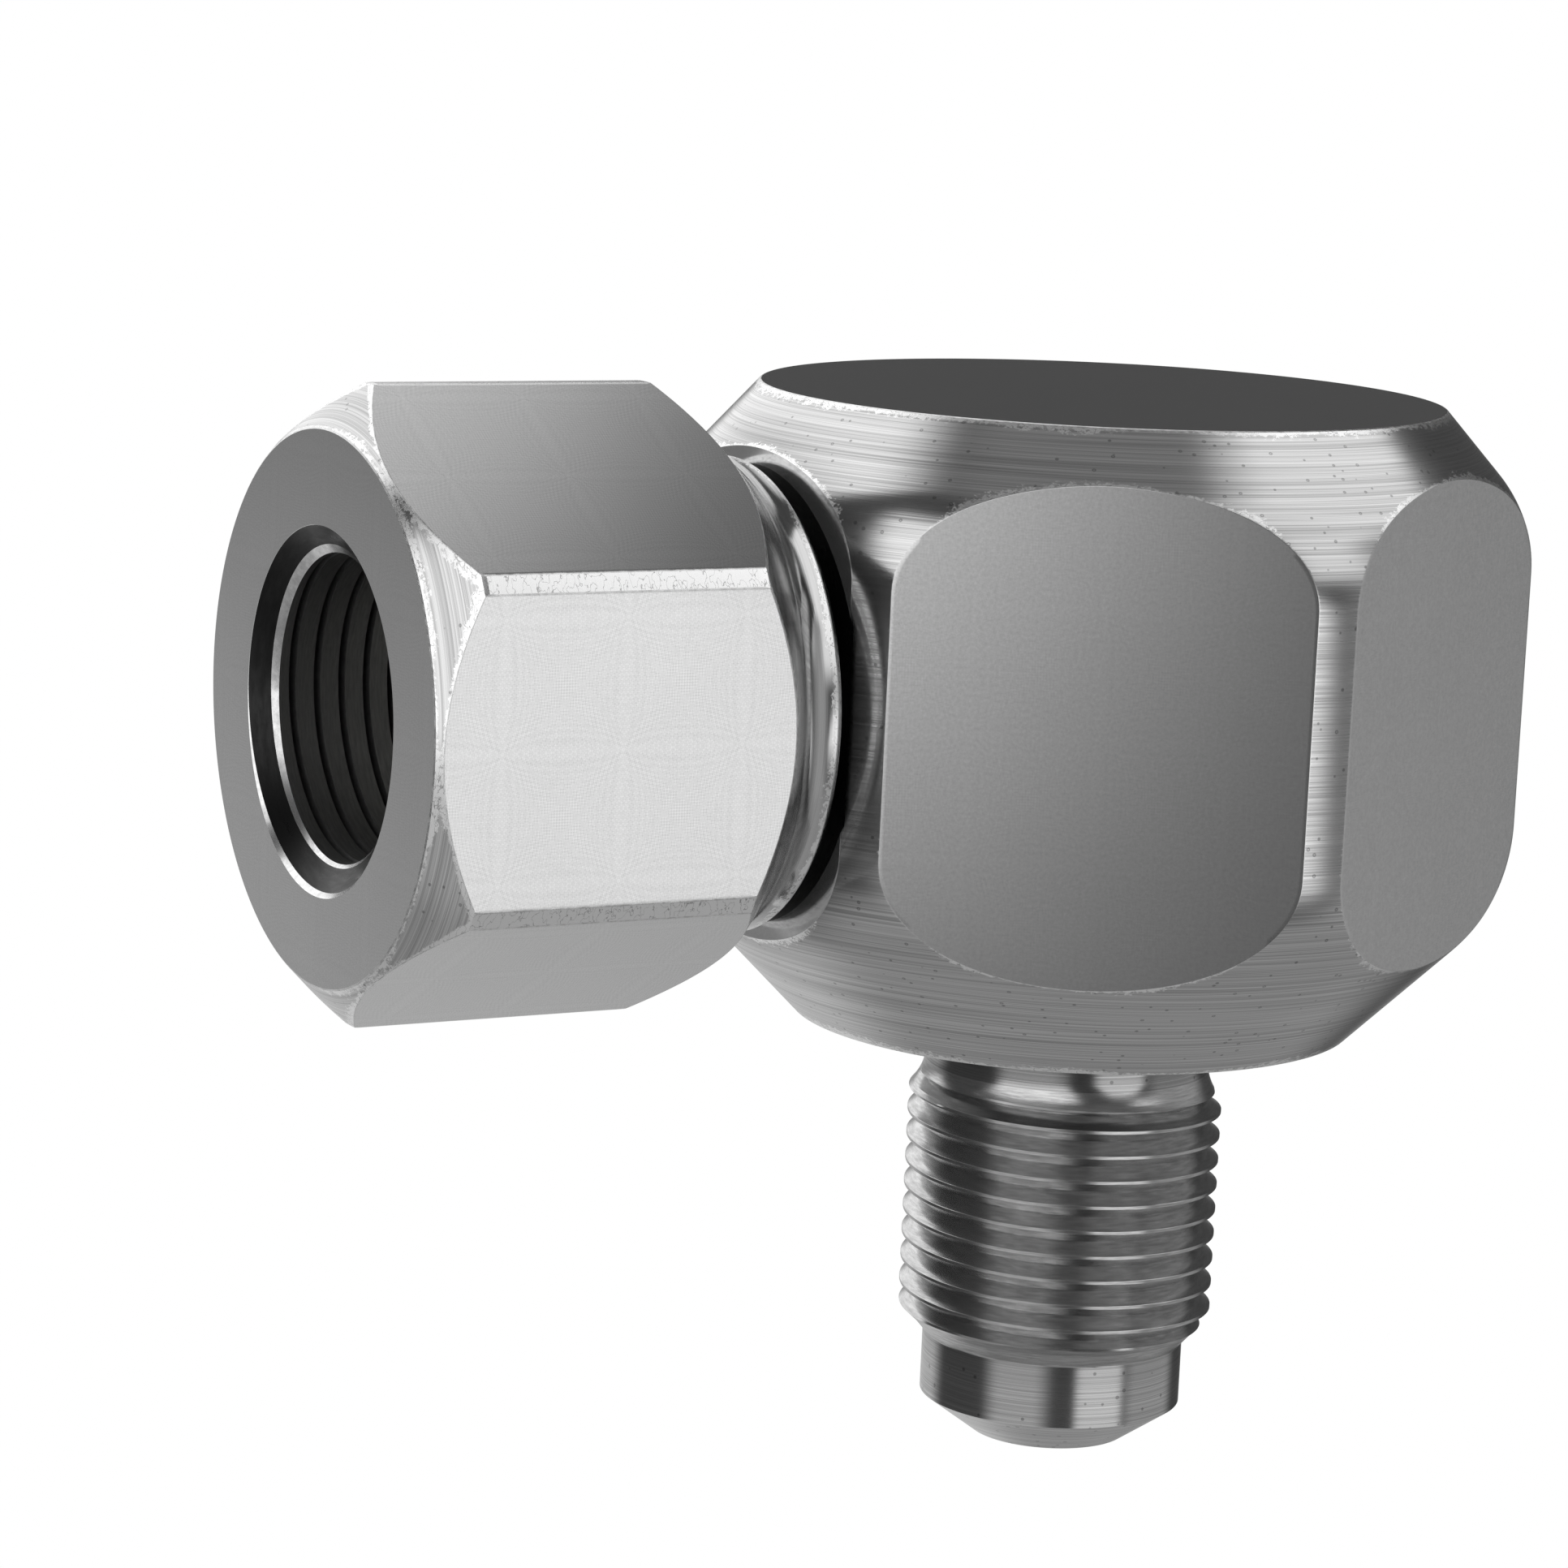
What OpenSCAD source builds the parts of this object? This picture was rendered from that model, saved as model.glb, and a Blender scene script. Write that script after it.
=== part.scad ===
// Swivel adapter: a hex body with a male stud below and a swivelling hex nut at its side.
// The origin is the centre of the body's shoulder, on the stud's axis. +Z is up and the nut looks along -X.

/* [Body] */
// Width across the body's flats
body_af = 40.4; // [38:0.1:44]
// Diameter that the body's corners are turned down to
body_d = 45.4; // [44.4:0.1:46]
// Height of the body from its shoulder to its top face
body_h = 32.9; // [31:0.1:40]
// Diameter of the flat top face
top_d = 35.7; // [30:0.1:39]
// Height of the cone under the top face, measured to the turned corners
top_cone_h = 5.4; // [3:0.1:6.5]
// Radius that blends the upper cone into the turned corners
top_blend_r = 7.6; // [3:0.1:10]
// Diameter of the shoulder face under the body
shoulder_d = 29.6; // [24:0.1:36]
// Height of the cone above the shoulder, measured to the turned corners
base_cone_h = 7.9; // [4:0.1:8.5]
// Radius that blends the lower cone into the turned corners
base_blend_r = 8.4; // [3:0.1:10]
// Height of the swivel's axis above the shoulder
port_z = 17.8; // [16.5:0.1:19]

/* [Stud] */
// Diameter of the undercut neck
neck_d = 15; // [13:0.1:15.6]
// Length of the neck's straight part
neck_l = 2.7; // [1.5:0.1:3.2]
// Diameter of the run-out collar between the neck and the thread
runout_d = 16; // [15.8:0.1:16.2]
// Outside diameter of the stud's thread
thread_d = 16.662; // [16.5:0.01:16.8]
// Pitch of both threads
pitch = 1.337; // [1.2:0.01:1.4]
// Depth of the stud's thread
thread_depth = 0.856; // [0.5:0.01:0.9]
// Width of the flat on each thread crest
crest_w = 0.4; // [0.2:0.05:0.5]
// Distance from the shoulder to the middle of the first full crest
first_crest = 4.9; // [4.7:0.1:6]
// Number of full crests on the stud
crests = 9; // [4:1:9]
// Diameter of the plain pilot below the thread
pilot_d = 13.9; // [12:0.1:14.5]
// Distance from the shoulder to the pilot's lower edge
pilot_end = 20.9; // [19:0.1:22]
// Diameter of the stud's end face
nose_d = 8.4; // [7.4:0.1:11]
// Full length of the stud below the shoulder
stud_l = 22.85; // [22.2:0.05:26]
// Diameter of the flow bore in the stud
stud_bore_d = 6; // [4:0.1:6.4]

/* [Swivel nut] */
// Width across the nut's flats
nut_af = 28; // [27:0.1:29]
// Diameter that the nut's corners are turned down to
nut_d = 31.75; // [30.8:0.05:32.1]
// Length of the nut from its hub's rear face to its front face
nut_l = 22.55; // [21:0.05:28]
// Clear gap between the hub and the body's flat
hub_gap = 0.95; // [0.7:0.05:2]
// Diameter of the flat front face
face_d = 27.3; // [23:0.1:27.6]
// Length of the nut's front cone
front_cone_l = 2.2; // [1:0.1:3.5]
// Diameter of the round hub behind the hexagon
hub_d = 24.1; // [22:0.1:25]
// Length of the hub back to where the rear cone would meet it
hub_l = 1.85; // [1.2:0.05:3]
// Length of the nut's rear cone
rear_cone_l = 3.65; // [2:0.05:5]
// Radius that blends the rear cone into the hub
hub_blend_r = 2.6; // [0.5:0.1:3]
// Bevel on the hub's rear edge
hub_bevel = 0.35; // [0.1:0.05:0.6]
// Diameter of the countersink at the nut's mouth
mouth_d = 17.9; // [17.2:0.1:20]
// Depth of the countersink
mouth_l = 0.9; // [0.6:0.05:1.5]
// Diameter at the foot of the countersink
mouth_foot_d = 16.1; // [15.6:0.1:17]
// Length of the step between the countersink and the thread
step_l = 0.2; // [0.1:0.05:0.5]
// Diameter over the female thread's crests
port_d = 15.2; // [14.95:0.05:15.4]
// Diameter over the female thread's roots
port_root_d = 16.7; // [16.66:0.02:17]
// Width of the flat on each female crest
port_crest_w = 0.7; // [0.4:0.05:0.8]
// Number of full crests in the female thread
port_crests = 7; // [3:1:7]
// Depth of the female port from the nut's face to its floor
port_l = 13.2; // [12.6:0.1:14]
// Diameter of the undercut at the port's floor
undercut_d = 16.9; // [16.7:0.1:18]
// Thickness of the flat gasket on the port's floor
gasket_t = 1.5; // [0.8:0.1:1.8]

/* [Stem] */
// Diameter of the stem where it runs in the gland
stem_d = 11.2; // [10.8:0.1:11.4]
// Diameter of the stem's nose
nose_stem_d = 10; // [9.6:0.1:10.2]
// Length of the stem's nose inside the body's seal bore
stem_nose_l = 4.9; // [4.5:0.1:5.4]
// Diameter of the flow bore through the stem
stem_bore_d = 5.2; // [3.5:0.1:5.4]
// Diameter at the floor of the seal groove
seal_floor_d = 7.6; // [7.2:0.1:8]
// Width of the seal groove
seal_groove_w = 2.8; // [2.7:0.1:3.2]
// Distance from the stem's end to the seal groove
seal_land = 1.3; // [0.8:0.1:1.6]
// Thickness of each backup ring
backup_t = 0.6; // [0.4:0.05:0.65]

/* [Bearing and gland] */
// Diameter of the bearing balls
ball_d = 2; // [1.6:0.1:2.1]
// Diameter of the circle that the balls run on
ball_circle_d = 14.2; // [13.9:0.1:14.4]
// Number of balls in each row
balls = 14; // [6:1:14]
// Depth of each ball track
track_depth = 0.4; // [0.2:0.05:0.5]
// Thickness of each fixed race
race_t = 1; // [0.9:0.05:1.3]
// Bore of each fixed race
race_bore_d = 11.9; // [11.7:0.1:12.1]
// Thickness of the thrust ring on the stem
thrust_t = 1.8; // [1.6:0.1:2.2]
// Outside diameter of the thrust ring
thrust_d = 16.6; // [16.2:0.1:16.8]
// Thickness of each ball cage
cage_t = 0.7; // [0.4:0.05:0.8]
// Inside diameter of each ball cage
cage_bore_d = 12; // [11.8:0.1:12.1]
// Outside diameter of each ball cage
cage_d = 16.4; // [16.3:0.1:16.7]
// Thickness of the retaining ring
clip_t = 0.8; // [0.5:0.05:0.9]
// Diameter at the floor of the retaining ring's groove
clip_floor_d = 9.2; // [8.8:0.1:9.4]
// Outside diameter of the retaining ring
clip_d = 11.5; // [11:0.1:11.6]
// Opening between the ends of the retaining ring
clip_slot = 2.4; // [1:0.1:4]
// Diameter of the bearing bore in the body
bearing_bore_d = 17; // [16.9:0.1:17.2]
// Outside diameter of the gland's thread
gland_d = 18; // [17.8:0.1:18.4]
// Pitch of the gland's thread
gland_pitch = 1; // [0.8:0.05:1.1]
// Depth of the gland's thread
gland_thread_depth = 0.4; // [0.2:0.05:0.4]
// Length of the gland ring
gland_l = 5.3; // [5:0.1:6]
// Distance that the gland sits below the body's flat
gland_sink = 0.1; // [0:0.05:0.3]
// Diameter of the pocket for the dust seal
dust_pocket_d = 14.8; // [14:0.1:15.4]
// Length of the dust seal inside its pocket
dust_seat_l = 1.8; // [1.2:0.1:2]
// Distance that the dust seal stands out of the gland
dust_lip_l = 0.5; // [0.2:0.1:0.6]
// Outside diameter of the guide bush
bush_d = 13; // [12.4:0.1:13.4]
// Length of the guide bush
bush_l = 3.2; // [2.4:0.1:3.3]
// Diameter of the pin that locks the gland
lock_pin_d = 1.6; // [1:0.1:1.8]
// Length of the lock pin
lock_pin_l = 3; // [2:0.1:4]

/* [Clearances] */
// Radial clearance of each running fit
run_fit = 0.05; // [0.03:0.01:0.08]
// Clearance between rubber or plastic seals and the face that they run on
seal_fit = 0.03; // [0.02:0.01:0.05]
// Clearance round each ball
ball_fit = 0.02; // [0.01:0.01:0.04]
// Clearance between the thrust ring and the stem, which turn together
slip_fit = 0.02; // [0.01:0.01:0.05]

/* [Hidden] */
$fn = 96;
steel = [0.72, 0.73, 0.74];
dark_rubber = [0.06, 0.06, 0.07];
bronze = [0.72, 0.52, 0.28];
white_plastic = [0.92, 0.91, 0.88];
blend_steps = 8;
eps = 0.01;

// Places along the swivel's axis, measured from the body's axis towards the nut
side_s = body_af / 2;
nut_back_s = side_s + hub_gap;
nut_face_s = nut_back_s + nut_l;
port_floor_s = nut_face_s - port_l;
gland_face_s = side_s - gland_sink;
gland_back_s = gland_face_s - gland_l;
row_gap = ball_d - 2 * track_depth;
outer_race_s = gland_back_s - race_t;
outer_row_s = outer_race_s - row_gap / 2;
thrust_front_s = outer_race_s - row_gap;
thrust_back_s = thrust_front_s - thrust_t;
inner_row_s = thrust_back_s - row_gap / 2;
inner_race_s = thrust_back_s - row_gap - race_t;
stem_end_s = inner_race_s - stem_nose_l;
seal_groove_s = stem_end_s + seal_land;

// Radii and lengths that follow from the sizes above
thread_r = thread_d / 2;
thread_root_r = thread_r - thread_depth;
root_w = crest_w / 2;
crest_half = crest_w / 2;
pitch_half = pitch / 2;
seal_bore_r = nose_stem_d / 2 + run_fit;
chamber_past = stud_bore_d / 2 + 0.6;
oring_w = seal_groove_w - 2 * backup_t - 0.2;
oring_mid_r = (seal_floor_d / 2 + nose_stem_d / 2 + run_fit - seal_fit) / 2;
oring_r = min((nose_stem_d / 2 + run_fit - seal_fit - seal_floor_d / 2) / 2, oring_w / 2);
gland_threads = floor((gland_l - 0.4) / gland_pitch);
dust_front_s = gland_face_s + dust_lip_l;
dust_back_s = gland_face_s - dust_seat_l;

// Lays a shape that is drawn along Z on the swivel's axis, with its +Z towards the nut's mouth
module on_swivel(s = 0) {
    translate([-s, 0, port_z]) rotate([0, -90, 0]) children();
}

// A flat ring between two radii, standing on Z = 0
module ring(outer_r, inner_r, length) {
    rotate_extrude() translate([inner_r, 0]) square([outer_r - inner_r, length]);
}

// A hexagonal bar with the given width across flats, with a flat facing -Y
module hex_bar(across_flats, length) {
    cylinder(r = across_flats / 2 / cos(30), h = length, $fn = 6);
}

// Points of the arc that rounds the corner c between the points a and b
function unit(v) = v / norm(v);
function rounded(a, c, b, r) =
    let(u = unit(a - c), w = unit(b - c), half = acos(u * w) / 2, run = r / tan(half),
        p = c + u * run, q = c + w * run, m = c + unit(u + w) * r / sin(half),
        from = atan2(p.y - m.y, p.x - m.x), turn = atan2(q.y - m.y, q.x - m.x) - from,
        sweep = turn > 180 ? turn - 360 : turn < -180 ? turn + 360 : turn)
    [for (i = [0 : blend_steps]) m + r * [cos(from + sweep * i / blend_steps), sin(from + sweep * i / blend_steps)]];

// Radius and height points of the turned outline of the body
body_outline = concat(
    [[0, 0], [shoulder_d / 2, 0]],
    rounded([shoulder_d / 2, 0], [body_d / 2, base_cone_h], [body_d / 2, body_h / 2], base_blend_r),
    rounded([body_d / 2, body_h / 2], [body_d / 2, body_h - top_cone_h], [top_d / 2, body_h], top_blend_r),
    [[top_d / 2, body_h], [0, body_h]]);

// Four points of one thread crest at height z, from its upper root to its lower root
function crest_at(z, crest_r, root_r, flat, gap) =
    [[root_r, z + pitch_half - gap / 2], [crest_r, z + flat / 2], [crest_r, z - flat / 2],
        [root_r, z - pitch_half + gap / 2]];

// Radius and height points of the stud, from the shoulder down to its end face
stud_outline = concat(
    [[0, eps], [neck_d / 2, eps], [neck_d / 2, -neck_l], [runout_d / 2, -first_crest + pitch_half + pitch_half / 2]],
    [for (i = [0 : crests - 1]) each crest_at(-first_crest - i * pitch, thread_r, thread_root_r, crest_w, root_w)],
    [[thread_root_r, -first_crest - crests * pitch], [pilot_d / 2, -first_crest - crests * pitch - pitch_half],
        [pilot_d / 2, -pilot_end], [nose_d / 2, -stud_l], [0, -stud_l]]);

// Radius and height points of the bore that takes the gland's thread, from its mouth inwards
gland_bore_r = gland_d / 2 + run_fit;
gland_bore_crest_r = gland_bore_r - gland_thread_depth;
gland_tooth = gland_pitch / 4;
gland_bore_outline = concat(
    [[0, side_s + eps], [gland_bore_r, side_s + eps]],
    [for (i = [0 : gland_threads - 1]) let(s = gland_face_s - 0.2 - i * gland_pitch)
        each [[gland_bore_r, s - gland_tooth], [gland_bore_crest_r, s - 2 * gland_tooth],
            [gland_bore_crest_r, s - 3 * gland_tooth], [gland_bore_r, s - 4 * gland_tooth]]],
    [[gland_bore_r, gland_back_s], [bearing_bore_d / 2, gland_back_s], [bearing_bore_d / 2, inner_race_s],
        [seal_bore_r, inner_race_s], [seal_bore_r, -chamber_past], [0, -chamber_past]]);

module body() {
    color(steel) difference() {
        union() {
            intersection() {
                rotate_extrude() polygon(body_outline);
                rotate([0, 0, 30]) hex_bar(body_af, body_h);
            }
            rotate_extrude() polygon(stud_outline);
        }
        on_swivel() rotate_extrude() polygon(gland_bore_outline);
        translate([0, 0, -stud_l - 1]) cylinder(d = stud_bore_d, h = stud_l + 1 + port_z);
        lock_pin_hole();
    }
}

// Radius and length points of the nut's turned outside, from its front face back to the hub
rear_cone_s = nut_back_s + hub_l + rear_cone_l;
nut_outline = concat(
    [[0, nut_face_s], [face_d / 2, nut_face_s], [nut_d / 2, nut_face_s - front_cone_l], [nut_d / 2, rear_cone_s]],
    rounded([nut_d / 2, rear_cone_s], [hub_d / 2, nut_back_s + hub_l], [hub_d / 2, nut_back_s], hub_blend_r),
    [[hub_d / 2, nut_back_s + hub_bevel], [hub_d / 2 - hub_bevel, nut_back_s], [0, nut_back_s]]);

// Radius and length points of the stem behind the hub, with its grooves, back to its open end
stem_outline = [
    [0, nut_back_s + eps], [stem_d / 2, nut_back_s + eps],
    [stem_d / 2, thrust_front_s], [nose_stem_d / 2, thrust_front_s],
    [nose_stem_d / 2, thrust_back_s], [clip_floor_d / 2, thrust_back_s],
    [clip_floor_d / 2, thrust_back_s - clip_t], [nose_stem_d / 2, thrust_back_s - clip_t],
    [nose_stem_d / 2, seal_groove_s + seal_groove_w], [seal_floor_d / 2, seal_groove_s + seal_groove_w],
    [seal_floor_d / 2, seal_groove_s], [nose_stem_d / 2, seal_groove_s],
    [nose_stem_d / 2, stem_end_s], [0, stem_end_s]];

// Radius and length points of the female port, from the nut's mouth down to its floor
port_thread_s = nut_face_s - mouth_l - step_l;
port_gap = pitch - port_crest_w;
port_outline = concat(
    [[0, nut_face_s + eps], [mouth_d / 2, nut_face_s + eps], [mouth_foot_d / 2, nut_face_s - mouth_l],
        [port_d / 2, port_thread_s]],
    [for (i = [0 : port_crests - 1]) let(s = port_thread_s - i * pitch)
        each [[port_d / 2, s - port_crest_w], [port_root_d / 2, s - port_crest_w - port_gap * 0.45],
            [port_root_d / 2, s - port_crest_w - port_gap * 0.55], [port_d / 2, s - pitch]]],
    [[undercut_d / 2, port_thread_s - port_crests * pitch - 0.3], [undercut_d / 2, port_floor_s], [0, port_floor_s]]);

module swivel_nut() {
    color(steel) on_swivel() difference() {
        union() {
            intersection() {
                rotate_extrude() polygon(nut_outline);
                translate([0, 0, nut_back_s]) hex_bar(nut_af, nut_l);
            }
            rotate_extrude() polygon(stem_outline);
        }
        rotate_extrude() polygon(port_outline);
        translate([0, 0, stem_end_s - 1]) cylinder(d = stem_bore_d, h = port_floor_s - stem_end_s + 2);
    }
}

// The hole for the lock pin, half in the gland and half in the body
module lock_pin_hole() {
    on_swivel(gland_face_s - lock_pin_l) translate([gland_d / 2, 0, 0]) cylinder(d = lock_pin_d, h = lock_pin_l + 1);
}

module lock_pin() {
    color(steel) on_swivel(gland_face_s - lock_pin_l) translate([gland_d / 2, 0, 0])
        cylinder(d = lock_pin_d, h = lock_pin_l);
}

// Radius and length points of the gland, whose thread crests fit the body's bore
gland_outline = concat(
    [[dust_pocket_d / 2, gland_face_s], [gland_d / 2, gland_face_s]],
    [for (i = [0 : gland_threads - 1]) let(s = gland_face_s - 0.2 - i * gland_pitch)
        each [[gland_d / 2, s - gland_tooth], [gland_d / 2 - gland_thread_depth, s - 2 * gland_tooth],
            [gland_d / 2 - gland_thread_depth, s - 3 * gland_tooth], [gland_d / 2, s - 4 * gland_tooth]]],
    [[gland_d / 2, gland_back_s], [bush_d / 2, gland_back_s], [bush_d / 2, dust_back_s],
        [dust_pocket_d / 2, dust_back_s]]);

module gland_ring() {
    color(steel) difference() {
        on_swivel() rotate_extrude() polygon(gland_outline);
        lock_pin_hole();
    }
}

// The dust seal fills its pocket and its lip reaches into the gap behind the hub
module dust_seal() {
    lip_r = stem_d / 2 + (dust_pocket_d - stem_d) / 4;
    color(dark_rubber) on_swivel() rotate_extrude() polygon([
        [stem_d / 2 + seal_fit, dust_back_s], [dust_pocket_d / 2, dust_back_s], [dust_pocket_d / 2, gland_face_s],
        [lip_r, dust_front_s], [stem_d / 2 + seal_fit, dust_front_s]]);
}

module guide_bush() {
    color(bronze) on_swivel(gland_back_s) ring(bush_d / 2, stem_d / 2 + run_fit, bush_l);
}

// The outline of a ball track's cut, centred on the row of balls
module track_cut(row_s) {
    translate([ball_circle_d / 2, row_s]) circle(d = ball_d + 2 * ball_fit);
}

// A fixed race with one track, facing the row at row_s
module race(back_s, row_s) {
    color(steel) on_swivel() rotate_extrude() difference() {
        translate([race_bore_d / 2, back_s]) square([(bearing_bore_d - race_bore_d) / 2, race_t]);
        track_cut(row_s);
    }
}

module outer_race() {
    race(outer_race_s, outer_row_s);
}

module inner_race() {
    race(inner_race_s, inner_row_s);
}

// The thrust ring turns with the stem and has a track on each side
module thrust_ring() {
    bore_r = nose_stem_d / 2 + slip_fit;
    color(steel) on_swivel() rotate_extrude() difference() {
        translate([bore_r, thrust_back_s]) square([thrust_d / 2 - bore_r, thrust_t]);
        track_cut(outer_row_s);
        track_cut(inner_row_s);
    }
}

// Places its child at each ball of the row at row_s
module each_ball(row_s) {
    on_swivel(row_s) for (i = [0 : balls - 1]) rotate([0, 0, i * 360 / balls])
        translate([ball_circle_d / 2, 0, 0]) children();
}

module ball_row(row_s) {
    color(steel) each_ball(row_s) sphere(d = ball_d);
}

// A flat cage with one round pocket for each ball of its row
module cage(row_s) {
    color(bronze) difference() {
        on_swivel(row_s - cage_t / 2) ring(cage_d / 2, cage_bore_d / 2, cage_t);
        each_ball(row_s) cylinder(d = ball_d + 3 * ball_fit, h = cage_t + 1, center = true);
    }
}

module outer_balls() {
    ball_row(outer_row_s);
}

module inner_balls() {
    ball_row(inner_row_s);
}

module outer_cage() {
    cage(outer_row_s);
}

module inner_cage() {
    cage(inner_row_s);
}

// The retaining ring sits in the stem's groove behind the thrust ring, with its ends apart
module retaining_ring() {
    color(steel) on_swivel(thrust_back_s - clip_t) difference() {
        ring(clip_d / 2, clip_floor_d / 2, clip_t);
        translate([0, -clip_slot / 2, -1]) cube([clip_d, clip_slot, clip_t + 2]);
    }
}

module pressure_oring() {
    color(dark_rubber) on_swivel(seal_groove_s + seal_groove_w / 2) rotate_extrude()
        translate([oring_mid_r, 0]) circle(r = oring_r);
}

module backup_ring(start_s) {
    color(white_plastic) on_swivel(start_s) ring(nose_stem_d / 2 + run_fit - seal_fit, seal_floor_d / 2, backup_t);
}

module backup_ring_outer() {
    backup_ring(seal_groove_s + seal_groove_w - backup_t);
}

module backup_ring_inner() {
    backup_ring(seal_groove_s);
}

// The gasket lies on the port's floor, where the mating end presses on it
module port_gasket() {
    color(white_plastic) on_swivel(port_floor_s) ring(undercut_d / 2 - slip_fit, stem_bore_d / 2 + 0.3, gasket_t);
}

body();
swivel_nut();
gland_ring();
lock_pin();
dust_seal();
guide_bush();
outer_race();
outer_balls();
outer_cage();
thrust_ring();
retaining_ring();
inner_balls();
inner_cage();
inner_race();
pressure_oring();
backup_ring_outer();
backup_ring_inner();
port_gasket();
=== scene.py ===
# %% [markdown]
# # A swivel adapter, turned from hexagon bar
# The real part joins a hose to a port at a right angle. A big hexagon body carries a threaded
# stud below, and a smaller hexagon nut turns freely on the body's side.
# The CAD model is the frame: it gives the places, the sizes and the parts that move. This
# script dresses it. It could be done by putting a finish on the CAD meshes alone, but bright
# metal shows every facet, so the two outer pieces are built again with fine, even meshes and
# true helical threads, and the small inner pieces keep their CAD meshes.

# %% Load the frame
import math

import bmesh
import bpy
from mathutils import Matrix, Vector


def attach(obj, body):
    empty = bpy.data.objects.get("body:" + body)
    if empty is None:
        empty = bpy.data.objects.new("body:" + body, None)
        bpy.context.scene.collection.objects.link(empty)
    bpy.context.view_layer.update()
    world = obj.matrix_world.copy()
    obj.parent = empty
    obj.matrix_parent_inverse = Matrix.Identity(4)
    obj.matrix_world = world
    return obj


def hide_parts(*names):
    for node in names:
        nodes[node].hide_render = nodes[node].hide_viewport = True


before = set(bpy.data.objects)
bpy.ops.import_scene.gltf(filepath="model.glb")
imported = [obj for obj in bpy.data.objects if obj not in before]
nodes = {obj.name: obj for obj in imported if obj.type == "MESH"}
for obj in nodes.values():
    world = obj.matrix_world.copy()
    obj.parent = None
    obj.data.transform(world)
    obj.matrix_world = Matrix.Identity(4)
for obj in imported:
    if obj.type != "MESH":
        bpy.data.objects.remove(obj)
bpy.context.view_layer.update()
print("CAD nodes:", len(nodes))

# %% [markdown]
# ## The camera
# The viewing angle was found by fitting a pinhole camera to the outlines of the part. A long
# lens a good quarter of a metre away keeps the perspective weak, and the small roll is real: the
# stud leans a little in the picture. The camera comes first, because every later step is judged
# through it.

# %% Camera
LENS_MM = 118.27
SENSOR_MM = 36.0
CAMERA_PLACE = Vector((-0.141546, -0.227584, 0.058061))
CAMERA_AZIMUTH = math.radians(-28.528)
CAMERA_ELEVATION = math.radians(9.868)
CAMERA_ROLL = math.radians(2.538)

camera_data = bpy.data.cameras.new("picture_camera")
camera_data.lens = LENS_MM
camera_data.sensor_width = SENSOR_MM
camera = bpy.data.objects.new("picture_camera", camera_data)
turn_round = Matrix.Rotation(CAMERA_AZIMUTH, 4, "Z")
tilt_down = Matrix.Rotation(math.radians(90) - CAMERA_ELEVATION, 4, "X")
roll_over = Matrix.Rotation(CAMERA_ROLL, 4, "Z")
camera.matrix_world = Matrix.Translation(CAMERA_PLACE) @ turn_round @ tilt_down @ roll_over
bpy.context.scene.collection.objects.link(camera)
bpy.context.scene.camera = camera
print("Camera at", [round(v, 4) for v in CAMERA_PLACE], "lens", LENS_MM, "mm")

# %% [markdown]
# ## A skin that is gathered strip by strip
# Each outer piece is one closed skin. Most of it is turned, so it is made of rings round an axis,
# with strips of faces between them. A lathe modifier could spin an outline, but it could not leave
# room for the flats or follow a thread. So a small class gathers points and faces, and welds
# them at the end.
# Each corner of a face also carries two marks that the finishes read later: its place as the
# lathe tool saw it (across, across, along the outline), and how far it is from a worn edge.

# %% The skin class
MM = 0.001
FULL_TURN = 2 * math.pi
SPOKES = 240  # points in each ring
FAR_FROM_EDGE = 9.0  # in mm, further than any wear reaches


class Skin:
    """The points, faces and finishes of one piece, before they become a mesh."""

    def __init__(self):
        self.points = []
        self.marks = []
        self.worn = []
        self.faces = []
        self.finishes = []

    def point(self, place, mark, worn=FAR_FROM_EDGE):
        self.points.append(place)
        self.marks.append(mark)
        self.worn.append(worn)
        return len(self.points) - 1

    def face(self, corners, finish):
        self.faces.append(corners)
        self.finishes.append(finish)

    def strip(self, row, next_row, finish, closed=False):
        """Faces between two rows with the same number of points."""
        count = len(row)
        last = count if closed else count - 1
        for i in range(last):
            j = (i + 1) % count
            self.face((row[i], row[j], next_row[j], next_row[i]), finish)


# %% From a skin to a mesh
WELD = 1e-6  # in metres
SHARP_ANGLE = math.radians(7)


def make_mesh(name, skin, finishes):
    """Turns a skin into a welded mesh. finishes gives the order of the material slots."""
    mesh = bpy.data.meshes.new(name)
    mesh.from_pydata(skin.points, [], skin.faces)
    corners = [v for face in skin.faces for v in face]
    lathe = mesh.attributes.new("lathe_mm", "FLOAT_VECTOR", "CORNER")
    lathe.data.foreach_set("vector", [value for v in corners for value in skin.marks[v]])
    edge = mesh.attributes.new("edge_mm", "FLOAT", "CORNER")
    edge.data.foreach_set("value", [skin.worn[v] for v in corners])
    mesh.polygons.foreach_set("material_index", [finishes.index(f) for f in skin.finishes])
    mesh.polygons.foreach_set("use_smooth", [True] * len(skin.faces))
    welded = bmesh.new()
    welded.from_mesh(mesh)
    bmesh.ops.remove_doubles(welded, verts=welded.verts, dist=WELD)
    bmesh.ops.dissolve_degenerate(welded, edges=welded.edges, dist=WELD / 2)
    bmesh.ops.recalc_face_normals(welded, faces=welded.faces)
    welded.to_mesh(mesh)
    welded.free()
    mesh.set_sharp_from_angle(angle=SHARP_ANGLE)
    return mesh


def open_edges(mesh):
    """How many edges of a mesh don't have exactly two faces. A closed skin has none."""
    uses = {}
    for face in mesh.polygons:
        for key in face.edge_keys:
            uses[key] = uses.get(key, 0) + 1
    return sum(1 for n in uses.values() if n != 2)


print("Each ring has", SPOKES, "points")

# %% [markdown]
# ## Two axes
# The body and its stud turn about the upright axis. The nut and its stem turn about the
# swivel axis, which lies along -X at the height of the port. Two small functions place a point by
# radius, angle and distance along either axis, so that every later helper works for both.

# %% Places on the two axes
PORT_Z = 17.8


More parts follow.
